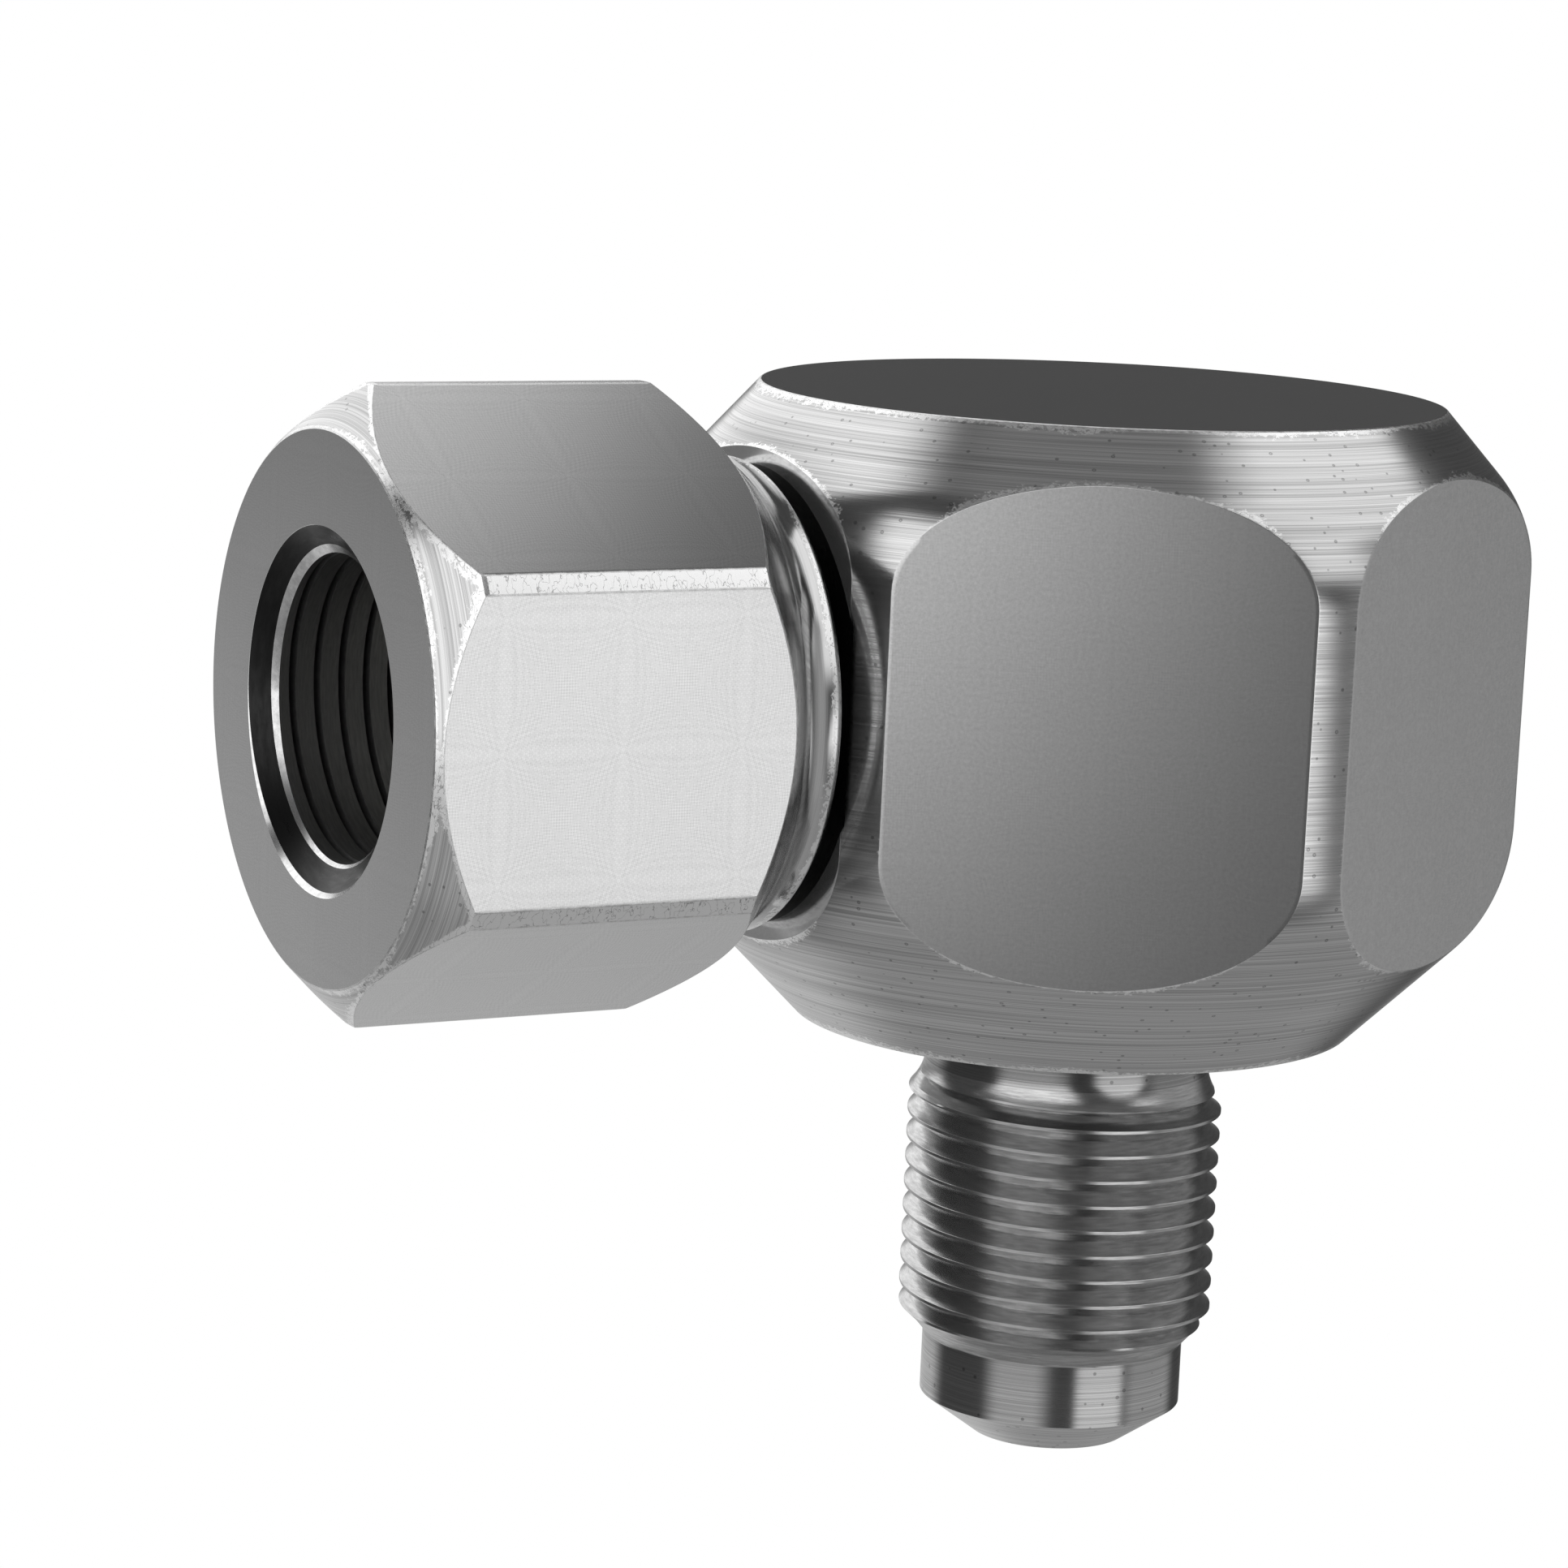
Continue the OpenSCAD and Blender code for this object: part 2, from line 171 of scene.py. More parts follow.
def on_body(radius, angle, height):
    """A point round the upright axis, from sizes in mm. Angle 0 is +X."""
    return (radius * math.cos(angle) * MM, radius * math.sin(angle) * MM, height * MM)


def on_swivel(radius, angle, along):
    """A point round the swivel axis, from sizes in mm. Angle 0 is +Y and 90 degrees is up."""
    y = radius * math.cos(angle)
    z = PORT_Z + radius * math.sin(angle)
    return (-along * MM, y * MM, z * MM)


# %% Outlines for turning
def rounded(before, corner, after, radius, steps=20):
    """Points of the arc that rounds the corner between two straight lines of an outline."""
    c = Vector(corner)
    u = (Vector(before) - c).normalized()
    w = (Vector(after) - c).normalized()
    half = math.acos(max(-1.0, min(1.0, u.dot(w)))) / 2
    run = radius / math.tan(half)
    first = c + u * run
    last = c + w * run
    middle = c + (u + w).normalized() * radius / math.sin(half)
    start = math.atan2(first.y - middle.y, first.x - middle.x)
    sweep = math.atan2(last.y - middle.y, last.x - middle.x) - start
    if sweep > math.pi:
        sweep -= FULL_TURN
    if sweep < -math.pi:
        sweep += FULL_TURN
    points = []
    for i in range(steps + 1):
        a = start + sweep * i / steps
        points.append((middle.x + radius * math.cos(a), middle.y + radius * math.sin(a)))
    return points


def between(outline, at, key=1):
    """Linear reading of an outline.

    key 1 takes a second coordinate and gives the first, such as the radius at a place along the
    axis. key 0 takes a first coordinate and gives the second.
    """
    for a, b in zip(outline, outline[1:]):
        low, high = sorted((a[key], b[key]))
        if low <= at <= high and high > low:
            share = (at - a[key]) / (b[key] - a[key])
            return a[1 - key] + (b[1 - key] - a[1 - key]) * share
    raise ValueError("the outline doesn't reach that place")


# %% Turned strips, with extra points beside worn corners
CORNER_EASE = 0.05
WEAR_STEPS = (0.12, 0.3, 0.6, 1.1)


def with_wear(outline, worn_corners):
    """Outline points as (radius, along, length, distance from a worn corner).

    Each worn corner is eased by a small flat, and has points beside it where the wear fades.
    """
    lengths = [0.0]
    for a, b in zip(outline, outline[1:]):
        lengths.append(lengths[-1] + math.dist(a, b))
    worn_at = [lengths[i] for i in worn_corners]
    places = set()
    for i, length in enumerate(lengths):
        if i not in worn_corners:
            places.add(length)
    for at in worn_at:
        for step in (CORNER_EASE,) + WEAR_STEPS:
            places.add(at - step)
            places.add(at + step)
    result = []
    for place in sorted(p for p in places if 0 <= p <= lengths[-1]):
        i = max(k for k in range(len(outline) - 1) if lengths[k] <= place + 1e-9)
        share = (place - lengths[i]) / (lengths[i + 1] - lengths[i])
        radius = outline[i][0] + (outline[i + 1][0] - outline[i][0]) * share
        along = outline[i][1] + (outline[i + 1][1] - outline[i][1]) * share
        gap = min((abs(place - at) for at in worn_at), default=FAR_FROM_EDGE)
        result.append((radius, along, place, gap))
    return result


def ring(skin, place, radius, along, length, worn):
    """One ring of points round an axis."""
    row = []
    for i in range(SPOKES):
        a = FULL_TURN * i / SPOKES
        mark = (radius * math.cos(a), radius * math.sin(a), length)
        row.append(skin.point(place(radius, a, along), mark, worn))
    return row


def turn(skin, place, outline, finish, worn_corners=()):
    """Turned skin along an outline of (radius, along) points in mm."""
    rows = []
    for radius, along, length, worn in with_wear(outline, worn_corners):
        rows.append(ring(skin, place, radius, along, length, worn))
    for row, next_row in zip(rows, rows[1:]):
        skin.strip(row, next_row, finish, closed=True)


# %% [markdown]
# ## Six flats milled on a turned blank
# A hexagon part is turned first, with cones and blends, and the flats are milled after that, so
# each flat ends in the curve where its plane meets the turned skin. A boolean with a hexagonal
# prism would find that curve, but leaves slivers along it. The curve is known exactly: at each
# height the flat is as wide as the circle's chord. So each flat, the turned skin
# between two flats, and the narrow worn edge that joins them are meshed from that chord.

# %% The outline of a flat
FLATS = 6
SECTOR = FULL_TURN / FLATS
COLUMNS = SPOKES // FLATS
FLAT_ROWS = 110
HALVINGS = 50
FINE_STEPS = 400


def chord_curve(outline, distance):
    """Half the outline of a flat: (half width, along) from its lowest to its highest point.

    The flat lies at that distance from the axis, and the points are evenly spaced.
    """
    alongs = [p[1] for p in outline]
    low, high = min(alongs), max(alongs)
    middle = (low + high) / 2
    ends = []
    for stop in (low, high):
        inside, outside = middle, stop
        for _ in range(HALVINGS):
            half = (inside + outside) / 2
            if between(outline, half) > distance:
                inside = half
            else:
                outside = half
        ends.append(inside)
    fine = []
    for i in range(FINE_STEPS + 1):
        share = (1 - math.cos(math.pi * i / FINE_STEPS)) / 2
        along = ends[0] + (ends[1] - ends[0]) * share
        width = math.sqrt(max(between(outline, along) ** 2 - distance ** 2, 0.0))
        fine.append((0.0 if i in (0, FINE_STEPS) else width, along))
    lengths = [0.0]
    for a, b in zip(fine, fine[1:]):
        lengths.append(lengths[-1] + math.dist(a, b))
    curve = []
    i = 0
    for row in range(FLAT_ROWS + 1):
        target = lengths[-1] * row / FLAT_ROWS
        while i < FINE_STEPS - 1 and lengths[i + 1] < target:
            i += 1
        share = min(1.0, (target - lengths[i]) / (lengths[i + 1] - lengths[i]))
        a, b = fine[i], fine[i + 1]
        curve.append((a[0] + (b[0] - a[0]) * share, a[1] + (b[1] - a[1]) * share))
    return curve


# %% The turned skin between the flats
SHARES_BELOW = (0, 0.03, 0.08, 0.16, 0.28, 0.42, 0.57, 0.72, 0.86)
SHARES_ABOVE = (0.14, 0.28, 0.43, 0.58, 0.72, 0.84, 0.92, 0.97, 1)
DEPTH_TO_WEAR = 0.55  # the depth under a flat's plane that counts as 1 mm from its edge
RIM_TO_WEAR = 1.35  # 1 mm along the axis from a rim counts as this many mm from an edge
WIDE_BAND = 1.5  # how far inside the widest radius calm still counts


def skin_between_flats(skin, place, outline, half_af, curve, finish, rims, calm):
    """Turned patches between neighbouring flats, over the outline's whole length.

    rims are the places along the axis of the worn rims that bound the outline. calm is how many
    mm less wear the widest part gets.
    """
    widest = max(p[0] for p in outline)
    low, high = outline[0][1], outline[-1][1]
    rows = [(0.0, low + (curve[0][1] - low) * share) for share in SHARES_BELOW]
    rows += curve
    rows += [(0.0, curve[-1][1] + (high - curve[-1][1]) * share) for share in SHARES_ABOVE]
    length = 0.0
    lengths = []
    radii = [between(outline, along) for _, along in rows]
    for i, (_, along) in enumerate(rows):
        if i:
            length += math.dist((radii[i], along), (radii[i - 1], rows[i - 1][1]))
        lengths.append(length)
    for k in range(FLATS):
        before = None
        for (width, along), radius, length in zip(rows, radii, lengths):
            margin = math.asin(min(1.0, width / radius))
            row = []
            for c in range(COLUMNS + 1):
                turned = margin + (SECTOR - 2 * margin) * c / COLUMNS
                a = k * SECTOR + turned
                off = min(turned, SECTOR - turned)
                worn = max(0.0, half_af - radius * math.cos(off)) / DEPTH_TO_WEAR
                worn += calm * max(0.0, 1 - (widest - radius) / WIDE_BAND)
                for rim in rims:
                    worn = min(worn, abs(along - rim) * RIM_TO_WEAR)
                mark = (radius * math.cos(a), radius * math.sin(a), length)
                row.append(skin.point(place(radius, a, along), mark, worn))
            if before:
                skin.strip(before, row, finish)
            before = row


# %% One flat with its worn edge
GRAIN_SHIFT = 3.7  # sets the grain of each flat apart from its neighbours'
FLAT_LOOPS = ((0.985, 0.15), (0.96, 0.4), (0.9, 1.0), (0.7, 3.0))  # scale, distance from the edge


def flat_with_edge(skin, place, number, curves, finishes):
    """A flat. curves holds (curve, distance from the axis), from the turned skin to the flat."""
    flat_finish, edge_finish = finishes
    inner, half_af = curves[-1]
    heart = (inner[0][1] + inner[-1][1]) / 2

    def at(distance, width, along, worn):
        radius = math.hypot(distance, width)
        a = number * SECTOR + math.atan2(width, distance)
        mark = (width, along - heart, number * GRAIN_SHIFT)
        return skin.point(place(radius, a, along), mark, worn)

    def loop(curve, distance, scale=1, worn=0.0):
        right = []
        left = []
        for width, along in curve:
            shrunk = heart + (along - heart) * scale
            right.append(at(distance, width * scale, shrunk, worn))
            left.append(at(distance, -width * scale, shrunk, worn))
        return right + left[-2:0:-1]

    rows = [loop(curve, distance) for curve, distance in curves]
    for row, next_row in zip(rows, rows[1:]):
        skin.strip(row, next_row, edge_finish, closed=True)
    before = rows[-1]
    for scale, worn in FLAT_LOOPS:
        row = loop(inner, half_af, scale, worn)
        skin.strip(before, row, flat_finish, closed=True)
        before = row
    skin.face(tuple(before), flat_finish)


def mill_flats(skin, place, outline, half_af, finishes, rims, ease, calm):
    """The whole hexagon zone of a piece: turned skin, six flats and their eased edges.

    finishes are those of the turned skin, the flats and the edges. ease is the size of an edge.
    """
    turned_finish, flat_finish, edge_finish = finishes
    outer = chord_curve(outline, half_af - ease)
    corner = chord_curve(outline, half_af)
    inner = chord_curve(outline, half_af + ease)
    skin_between_flats(skin, place, outline, half_af, outer, turned_finish, rims, calm)
    middle = []
    for o, c, i in zip(outer, corner, inner):
        width = c[0] * 0.6 + (o[0] + i[0]) * 0.2
        along = c[1] * 0.6 + (o[1] + i[1]) * 0.2
        middle.append((width, along))
    curves = [(outer, half_af - ease), (middle, half_af - ease * 0.2), (inner, half_af)]
    for number in range(FLATS):
        flat_with_edge(skin, place, number, curves, (flat_finish, edge_finish))


# %% [markdown]
# ## Helical threads
# A thread is a groove that climbs one pitch in each turn. A screw modifier would make it, but
# its ends are open and don't join the plain skin beside it. Here the columns of points stand
# still and their rows slide along the axis with the angle, so every ridge has the same clean
# shape all the way round. Rows that would pass an end are held there and welded, and the
# radius comes from the groove's shape and from the plain shape that was turned first.

# %% A threaded zone
def both_sides(shape):
    """The shares of a pitch at which a ridge or groove bends, over the whole pitch.

    shape holds (share, depth) from the middle, where the share is 0, to half a pitch.
    """
    half = {share for share, _ in shape}
    return sorted(half | {1 - share for share in half if 0 < share < 0.5})


def thread(skin, place, zone, pitch, climb, start, shape, radius_at, finish):
    """A threaded zone between two places along the axis.

    climb is 1 or -1, for a turn that rises or falls with the angle. start is where the middle of
    a ridge or groove lies at angle 0, and shape gives the shares of a pitch where the outline
    bends.
    """
    low, high = sorted(zone)
    turns_low = int((low - start) / pitch) - 2
    turns_high = int((high - start) / pitch) + 2
    before = None
    for i in range(SPOKES + 1):
        a = FULL_TURN * i / SPOKES
        row = []
        for k in range(turns_low, turns_high + 1):
            for share in shape:
                along = start + climb * pitch * i / SPOKES + (k + share) * pitch
                along = min(high, max(low, along))
                radius = radius_at(a, along)
                mark = (radius * math.cos(a), radius * math.sin(a), along * 2)
                row.append(skin.point(place(radius, a, along), mark))
        if before:
            skin.strip(before, row, finish)
        before = row


# %% [markdown]
# ## The body and its stud
# The body and the stud are one piece of bar. The outline starts at the top face, runs down over
# the upper cone, the turned corners and the lower cone to the shoulder, and on over the neck,
# the thread and the pilot to the end of the stud, where the bore goes back up.

# %% Sizes of the body in mm
BODY_HALF_AF = 20.2
BODY_HEIGHT = 32.9
TOP_RADIUS = 17.85
CORNER_RADIUS = 22.7
SHOULDER_RADIUS = 14.8
LOWER_CORNER_Z = 7.9
UPPER_CORNER_Z = 27.5
LOWER_BLEND = 8.4
UPPER_BLEND = 7.6
RIM_EASE = 0.05

waist = (CORNER_RADIUS, BODY_HEIGHT / 2)
lower_corner = rounded((SHOULDER_RADIUS, 0), (CORNER_RADIUS, LOWER_CORNER_Z), waist, LOWER_BLEND)
top = (TOP_RADIUS, BODY_HEIGHT)
upper_corner = rounded(waist, (CORNER_RADIUS, UPPER_CORNER_Z), top, UPPER_BLEND)
under_rim = (TOP_RADIUS + 0.9 * RIM_EASE, BODY_HEIGHT - RIM_EASE)
body_outline = [(SHOULDER_RADIUS, 0)] + lower_corner + upper_corner + [under_rim]
print("Body outline points:", len(body_outline))

# %% Sizes of the stud in mm
PITCH = 1.337
THREAD_RADIUS = 8.331
THREAD_DEPTH = 0.856
PILOT_RADIUS = 6.95
PILOT_END = -20.9
NOSE_RADIUS = 4.2
BORE_RADIUS = 3
BORE_TOP = 16.5
STUD_END = -22.85
THREAD_ZONE = (-2.7, -17.6)
NECK_RADIUS = 7.5
THREAD_FOOT = (THREAD_RADIUS, -4.35)
NECK_BEND = (NECK_RADIUS, -3.394)
NECK_BLEND = 3.0
neck_cove = rounded((NECK_RADIUS, 0), NECK_BEND, THREAD_FOOT, NECK_BLEND)
blank_of_stud = neck_cove + [
    THREAD_FOOT, (THREAD_RADIUS, -16.15), (7.6, -16.8), (PILOT_RADIUS, -17.55),
    (PILOT_RADIUS, -18)]
ridge_shape = [(0, 0), (0.058, 0), (0.07, 0.014), (0.08, 0.036), (0.17, 0.212), (0.26, 0.387),
               (0.35, 0.563), (0.43, 0.719), (0.5, THREAD_DEPTH)]
STUD_CLIMB = -1  # a left-hand thread
FIRST_RIDGE_Z = -4.24
FIRST_RIDGE_DEGREES = 150.5
STUD_RIDGE_AT = FIRST_RIDGE_Z - STUD_CLIMB * PITCH * FIRST_RIDGE_DEGREES / 360
GROOVE_START_Z = -3.566  # the groove begins where its middle is lower than this
GROOVE_FADE = 0.05  # in turns


def stud_radius(angle, along):
    """Radius of the threaded stud at a point."""
    blank = between(blank_of_stud, along)
    turned = STUD_CLIMB * angle / FULL_TURN
    phase = (along - STUD_RIDGE_AT) / PITCH - turned
    depth = between(ridge_shape, abs(phase - round(phase)), key=0)
    groove_along = STUD_RIDGE_AT + (math.floor(phase) + 0.5 + turned) * PITCH
    turns = (GROOVE_START_Z - groove_along) / PITCH
    fade = min(1.0, max(0.0, turns / GROOVE_FADE))
    return blank - fade * max(0.0, blank - THREAD_RADIUS + depth)


# %% The outside of the body
BODY_FINISHES = ["turned_steel", "planed_steel", "worn_edge", "thread_steel", "bored_steel",
                 "faced_steel", "recess_steel"]
body_skin = Skin()
over_rim = (TOP_RADIUS - 0.06, BODY_HEIGHT)
top_face = [(radius, BODY_HEIGHT) for radius in (0, 8, 15, TOP_RADIUS - 0.12)]
turn(body_skin, on_body, top_face + [over_rim], "faced_steel")
turn(body_skin, on_body, [over_rim, (TOP_RADIUS, BODY_HEIGHT - 0.02), under_rim], "worn_edge")
mill_flats(body_skin, on_body, body_outline, BODY_HALF_AF,
           ("turned_steel", "planed_steel", "planed_steel"), (0, BODY_HEIGHT), ease=0.012, calm=0.6)
print("Faces of the hexagon and the top:", len(body_skin.faces))

# %% The stud, and the mesh of the body
neck = [p for p in neck_cove if p[1] > THREAD_ZONE[0]]
neck.append((between(neck_cove, THREAD_ZONE[0]), THREAD_ZONE[0]))
turn(body_skin, on_body, [(SHOULDER_RADIUS, 0), (NECK_RADIUS, 0)] + neck, "turned_steel")
thread(body_skin, on_body, THREAD_ZONE, PITCH, STUD_CLIMB, STUD_RIDGE_AT, both_sides(ridge_shape),
       stud_radius, "thread_steel")
pilot = [(PILOT_RADIUS, along) for along in (THREAD_ZONE[1], -17.65, -17.9, PILOT_END)]
turn(body_skin, on_body, pilot + [(NOSE_RADIUS, STUD_END), (BORE_RADIUS, STUD_END)], "turned_steel")
stud_bore = [(BORE_RADIUS, STUD_END), (BORE_RADIUS, BORE_TOP), (0, BORE_TOP)]
turn(body_skin, on_body, stud_bore, "bored_steel")
body_mesh = make_mesh("hex_body", body_skin, BODY_FINISHES)
print("Body skin:", len(body_mesh.vertices), "points, open edges:", open_edges(body_mesh))

# %% [markdown]
# ## The port in the body's side
# The stem of the nut runs in a stepped bore that meets the body's own bore, and a pin beside it
# locks the ring that closes it. Where a round bore meets a flat and another bore, the curves are
# hard to mesh by hand, so two closed cutters are taken out by exact booleans. Just behind the
# nut's hub the flat has a shallow recess, which shows as a sharp dark ring.
# Its floor is painted nearly black as painted shade, which makes that ring dark.

# %% The cutters
OUTSIDE = 22  # beyond the flat
RECESS_RADIUS = 11.65
RECESS_FLOOR = 20.1
GLAND_RADIUS = 9.05
GLAND_FLOOR = 14.8
BEARING_RADIUS = 8.5
BEARING_FLOOR = 8.6
CHAMBER_RADIUS = 5.05
CHAMBER_END = -3.6
recess = [(0, OUTSIDE), (RECESS_RADIUS, OUTSIDE), (RECESS_RADIUS, RECESS_FLOOR),
          (GLAND_RADIUS, RECESS_FLOOR)]
side_bore = [(GLAND_RADIUS, RECESS_FLOOR), (GLAND_RADIUS, GLAND_FLOOR),
             (BEARING_RADIUS, GLAND_FLOOR), (BEARING_RADIUS, BEARING_FLOOR),
             (CHAMBER_RADIUS, BEARING_FLOOR), (CHAMBER_RADIUS, CHAMBER_END), (0, CHAMBER_END)]
port_skin = Skin()
turn(port_skin, on_swivel, recess, "recess_steel")
turn(port_skin, on_swivel, side_bore, "bored_steel")
port_mesh = make_mesh("port_cutter", port_skin, BODY_FINISHES)

PIN_RADIUS = 0.8
PIN_UP = 9.0
PIN_INNER = 17.1


def on_pin(radius, angle, along):
    """A point round the lock pin's hole, which is parallel to the swivel axis and above it."""
    x, y, z = on_swivel(radius, angle, along)
    return (x, y, z + PIN_UP * MM)


pin_hole = [(0, OUTSIDE), (PIN_RADIUS, OUTSIDE), (PIN_RADIUS, PIN_INNER), (0, PIN_INNER)]
pin_skin = Skin()
turn(pin_skin, on_pin, pin_hole, "bored_steel")
pin_mesh = make_mesh("pin_cutter", pin_skin, BODY_FINISHES)
print("Cutters:", port_mesh.name, pin_mesh.name)


# %% The cuts
def add_object(name, mesh):
    """Puts a mesh in the scene."""
    thing = bpy.data.objects.new(name, mesh)
    bpy.context.scene.collection.objects.link(thing)
    return thing


def cut(target, cutter):
    """Cuts one closed mesh out of another, and keeps the finishes of both."""
    modifier = target.modifiers.new("cut", "BOOLEAN")
    modifier.operation = "DIFFERENCE"
    modifier.solver = "EXACT"
    modifier.object = cutter
    graph = bpy.context.evaluated_depsgraph_get()
    done = bpy.data.meshes.new_from_object(target.evaluated_get(graph))
    target.modifiers.clear()
    target.data = done
    done.set_sharp_from_angle(angle=SHARP_ANGLE)
    bpy.data.objects.remove(cutter)


hex_body = add_object("hex_body", body_mesh)
cut(hex_body, add_object("port_cutter", port_mesh))
cut(hex_body, add_object("pin_cutter", pin_mesh))
print("Body after the cut:", len(hex_body.data.vertices), "points, open edges:",
      open_edges(hex_body.data))

# %% [markdown]
# ## The swivel nut
# The nut is turned with its stem in one piece: hub, rear cone, hexagon, front cone, and a
# countersunk port with a thread inside. The skin runs once round the whole section, from the
# stem's end over the outside to the face, and back down the port.

# %% Sizes of the hub and the hexagon in mm
NUT_HALF_AF = 14.0
NUT_RADIUS = 15.875
NUT_BACK = 21.15
NUT_FACE = 43.7
REAR_CORNER = (NUT_RADIUS, 26.65)
FRONT_CORNER = (NUT_RADIUS, 41.5)
FACE_RADIUS = 13.65
HUB_RADIUS = 12.05
HUB_FOOT = (HUB_RADIUS, 23.0)
HUB_BLEND = 2.6
HUB_BEVEL = 0.35
STEM_RADIUS = 5.6
hub_corner = rounded(REAR_CORNER, HUB_FOOT, (HUB_RADIUS, NUT_BACK), HUB_BLEND, steps=14)
hub_outline = [(STEM_RADIUS, NUT_BACK), (HUB_RADIUS - HUB_BEVEL, NUT_BACK),
               (HUB_RADIUS, NUT_BACK + HUB_BEVEL)] + hub_corner[::-1]
nut_outline = [hub_corner[0], REAR_CORNER, FRONT_CORNER,
               (FACE_RADIUS + 0.8 * RIM_EASE, NUT_FACE - RIM_EASE)]
print("Nut from", NUT_BACK, "to", NUT_FACE, "mm along the swivel axis")

# %% Sizes of the stem and the port in mm
STEM_BORE = 2.6
STEM_END = 3.7
PORT_RADIUS = 7.6
PORT_FLOOR = 30.5
UNDERCUT_RADIUS = 8.45
UNDERCUT_START = 32.94
STEM_NOSE = 5  # the radius of its slimmer end
STEM_STEP = 12.6
SEAL_GROOVE = (5, 7.8, 3.8)  # from, to, and the radius of its floor
RING_GROOVE = (10, 10.8, 4.6)
stem_outline = [(STEM_BORE, STEM_END), (STEM_NOSE, STEM_END)]
for start, stop, inner in (SEAL_GROOVE, RING_GROOVE):
    stem_outline += [(STEM_NOSE, start), (inner, start), (inner, stop), (STEM_NOSE, stop)]
stem_outline += [(STEM_NOSE, STEM_STEP), (STEM_RADIUS, STEM_STEP), (STEM_RADIUS, NUT_BACK)]
GROOVE_HALF = 0.14
GROOVE_DEPTH = 0.6
groove_shape = [(0, GROOVE_DEPTH), (0.03, GROOVE_DEPTH), (GROOVE_HALF, 0), (0.3, 0), (0.5, 0)]
GROOVE_AT = 41.89
GROOVE_RUNOUT = 0.25
PORT_CLIMB = 1  # left-hand too, because the places here run along -X
PORT_ZONE = (33.24, 42.6)


def port_radius(angle, along):
    """Radius of the nut's threaded port at a point."""
    phase = (along - GROOVE_AT) / PITCH - PORT_CLIMB * angle / FULL_TURN
    depth = between(groove_shape, abs(phase - round(phase)), key=0)
    from_ends = min(PORT_ZONE[1] - along, along - PORT_ZONE[0])
    return PORT_RADIUS + depth * max(0.0, min(1.0, from_ends / GROOVE_RUNOUT))


# %% The outside of the nut
NUT_FINISHES = ["turned_steel", "milled_steel", "worn_edge", "hub_steel", "bored_steel",
                "faced_steel", "mouth_painted_shade", "lip_steel_and_highlight"]
FACE_INNER = 9.25
nut_skin = Skin()
turn(nut_skin, on_swivel, stem_outline, "turned_steel")
turn(nut_skin, on_swivel, hub_outline, "hub_steel", worn_corners=(1, 2))
mill_flats(nut_skin, on_swivel, nut_outline, NUT_HALF_AF,
           ("turned_steel", "milled_steel", "worn_edge"), (NUT_FACE,), ease=0.03, calm=-0.5)
face_rim = (FACE_RADIUS - RIM_EASE, NUT_FACE)
turn(nut_skin, on_swivel, [nut_outline[-1], face_rim], "worn_edge")
nut_face = [(radius, NUT_FACE) for radius in (13.54, 12.8, 11.0, 9.6, FACE_INNER)]
turn(nut_skin, on_swivel, [face_rim] + nut_face, "faced_steel")
print("Faces outside the port:", len(nut_skin.faces))

# %% The mouth of the port
MOUTH_RADIUS = 8.95
LIP_LEAST = 0.015
LIP_GROWTH = 0.24
LIP_CURVE = 1.3
STEP_MIDDLE = 0.3
STEP_SWING = 0.12
STEP_WIDEST = math.radians(60)
STEP_SLOPE = 0.76


def mouth_section(angle):
    """(radius, along) from the nut's face down to the thread.

    The lip is bevelled most at the bottom, and the step before the thread is widest at one side.
    """
    lip = LIP_LEAST + LIP_GROWTH * max(0.0, -math.sin(angle)) ** LIP_CURVE
    step = STEP_MIDDLE + STEP_SWING * math.cos(angle - STEP_WIDEST)
    thread_end = PORT_ZONE[1]
    return ((FACE_INNER, NUT_FACE), (MOUTH_RADIUS + lip, NUT_FACE), (MOUTH_RADIUS, NUT_FACE - lip),
            (PORT_RADIUS + step, thread_end + STEP_SLOPE * step), (PORT_RADIUS, thread_end))


# The mouth is painted nearly black as painted shade; the lip's bright tone is partly a painted
# highlight.
mouth_finishes = ("faced_steel", "lip_steel_and_highlight", "mouth_painted_shade", "lip_steel_and_highlight")
mouth_rows = [[] for _ in range(len(mouth_finishes) + 1)]
for i in range(SPOKES):
    a = FULL_TURN * i / SPOKES
    for row, (radius, along) in zip(mouth_rows, mouth_section(a)):
        mark = (radius * math.cos(a), radius * math.sin(a), radius)
        row.append(nut_skin.point(on_swivel(radius, a, along), mark))
for row, next_row, finish in zip(mouth_rows, mouth_rows[1:], mouth_finishes):
    nut_skin.strip(row, next_row, finish, closed=True)
print("Rings in the mouth:", len(mouth_rows))

# %% The threaded port, and the mesh of the nut
thread(nut_skin, on_swivel, PORT_ZONE, PITCH, PORT_CLIMB, GROOVE_AT, both_sides(groove_shape),
       port_radius, "bored_steel")
port_foot = [(PORT_RADIUS, PORT_ZONE[0]), (UNDERCUT_RADIUS, UNDERCUT_START),
             (UNDERCUT_RADIUS, PORT_FLOOR), (STEM_BORE, PORT_FLOOR), (STEM_BORE, STEM_END)]
turn(nut_skin, on_swivel, port_foot, "bored_steel")
nut_mesh = make_mesh("hex_nut", nut_skin, NUT_FINISHES)
hex_nut = add_object("hex_nut", nut_mesh)
print("Nut skin:", len(nut_mesh.vertices), "points, open edges:", open_edges(nut_mesh))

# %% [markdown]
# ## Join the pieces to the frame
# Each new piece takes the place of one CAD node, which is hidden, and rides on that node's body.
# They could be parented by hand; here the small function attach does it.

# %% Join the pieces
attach(hex_body, "housing")
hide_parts("body")
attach(hex_nut, "nut")
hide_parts("swivel_nut")
print("Body rides on housing, nut rides on nut")

# %% [markdown]
# ## Finishes as node trees
# Every finish is made of Blender's procedural nodes, so nothing is painted from a picture. A
# small class keeps the trees short: it adds a node, sets or joins its inputs, and offers the few
# steps that all the finishes share.

